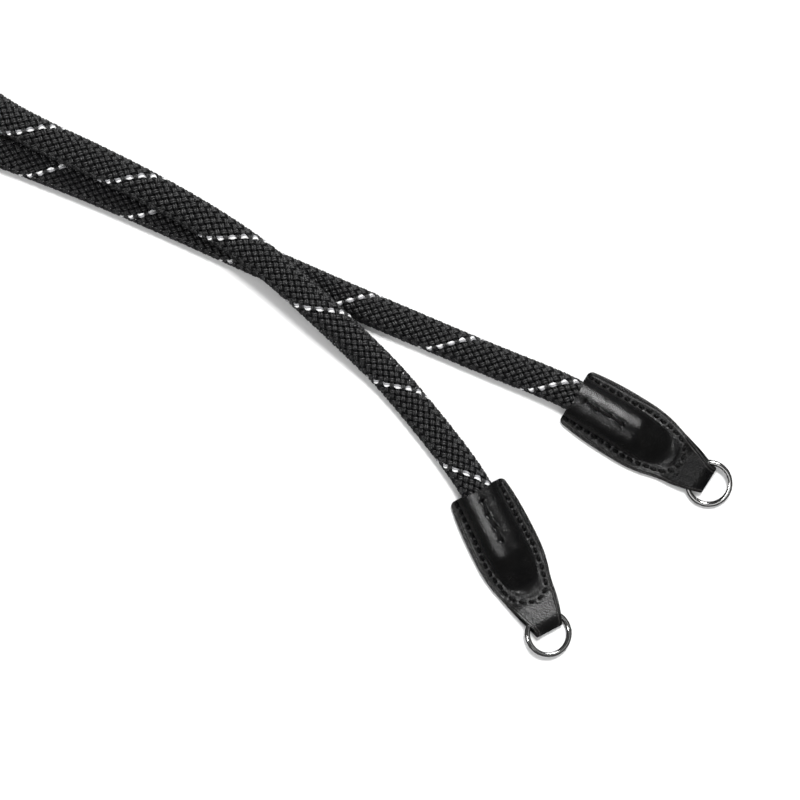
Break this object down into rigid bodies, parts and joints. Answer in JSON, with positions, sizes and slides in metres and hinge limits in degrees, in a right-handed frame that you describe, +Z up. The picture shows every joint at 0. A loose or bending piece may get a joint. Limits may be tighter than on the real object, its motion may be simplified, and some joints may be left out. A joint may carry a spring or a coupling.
{
  "type": "rope camera strap",
  "caption": "Braided round rope camera strap with sewn leather ends moulded over the rope, each holding a split ring, lying flat.",
  "frame": {"origin": "on the table, under the middle of the box round the leather ends and their rings", "axes": "+Z up from the table, +X along leather end a from its mouth to its ring, +Y to the left of that; the rope's far loop lies towards -X"},
  "size_m": [0.4825, 0.0834, 0.0205],
  "materials": {
    "rope": "braided yarn",
    "leather": "smooth, fine grain",
    "thread": "waxed thread",
    "fleck": "braided yarn",
    "split_ring": "polished dark nickel"
  },
  "bodies": {
    "strap": {"rope": "rope", "leather_end_a": "leather", "leather_end_b": "leather"},
    "ring_a": {"split_ring_a": "split_ring"},
    "ring_b": {"split_ring_b": "split_ring"}
  },
  "joints": [
    {"name": "ring_a_turn", "type": "hinge", "parent": "strap", "child": "ring_a", "pos_m": [0.02733, 0.02921, 0.00357], "axis": [0.0581, -0.2076, 0.9765], "continuous": true},
    {"name": "ring_b_turn", "type": "hinge", "parent": "strap", "child": "ring_b", "pos_m": [0.01, -0.03352, 0.00386], "axis": [0.1587, 0.1458, 0.9765], "continuous": true}
  ]
}
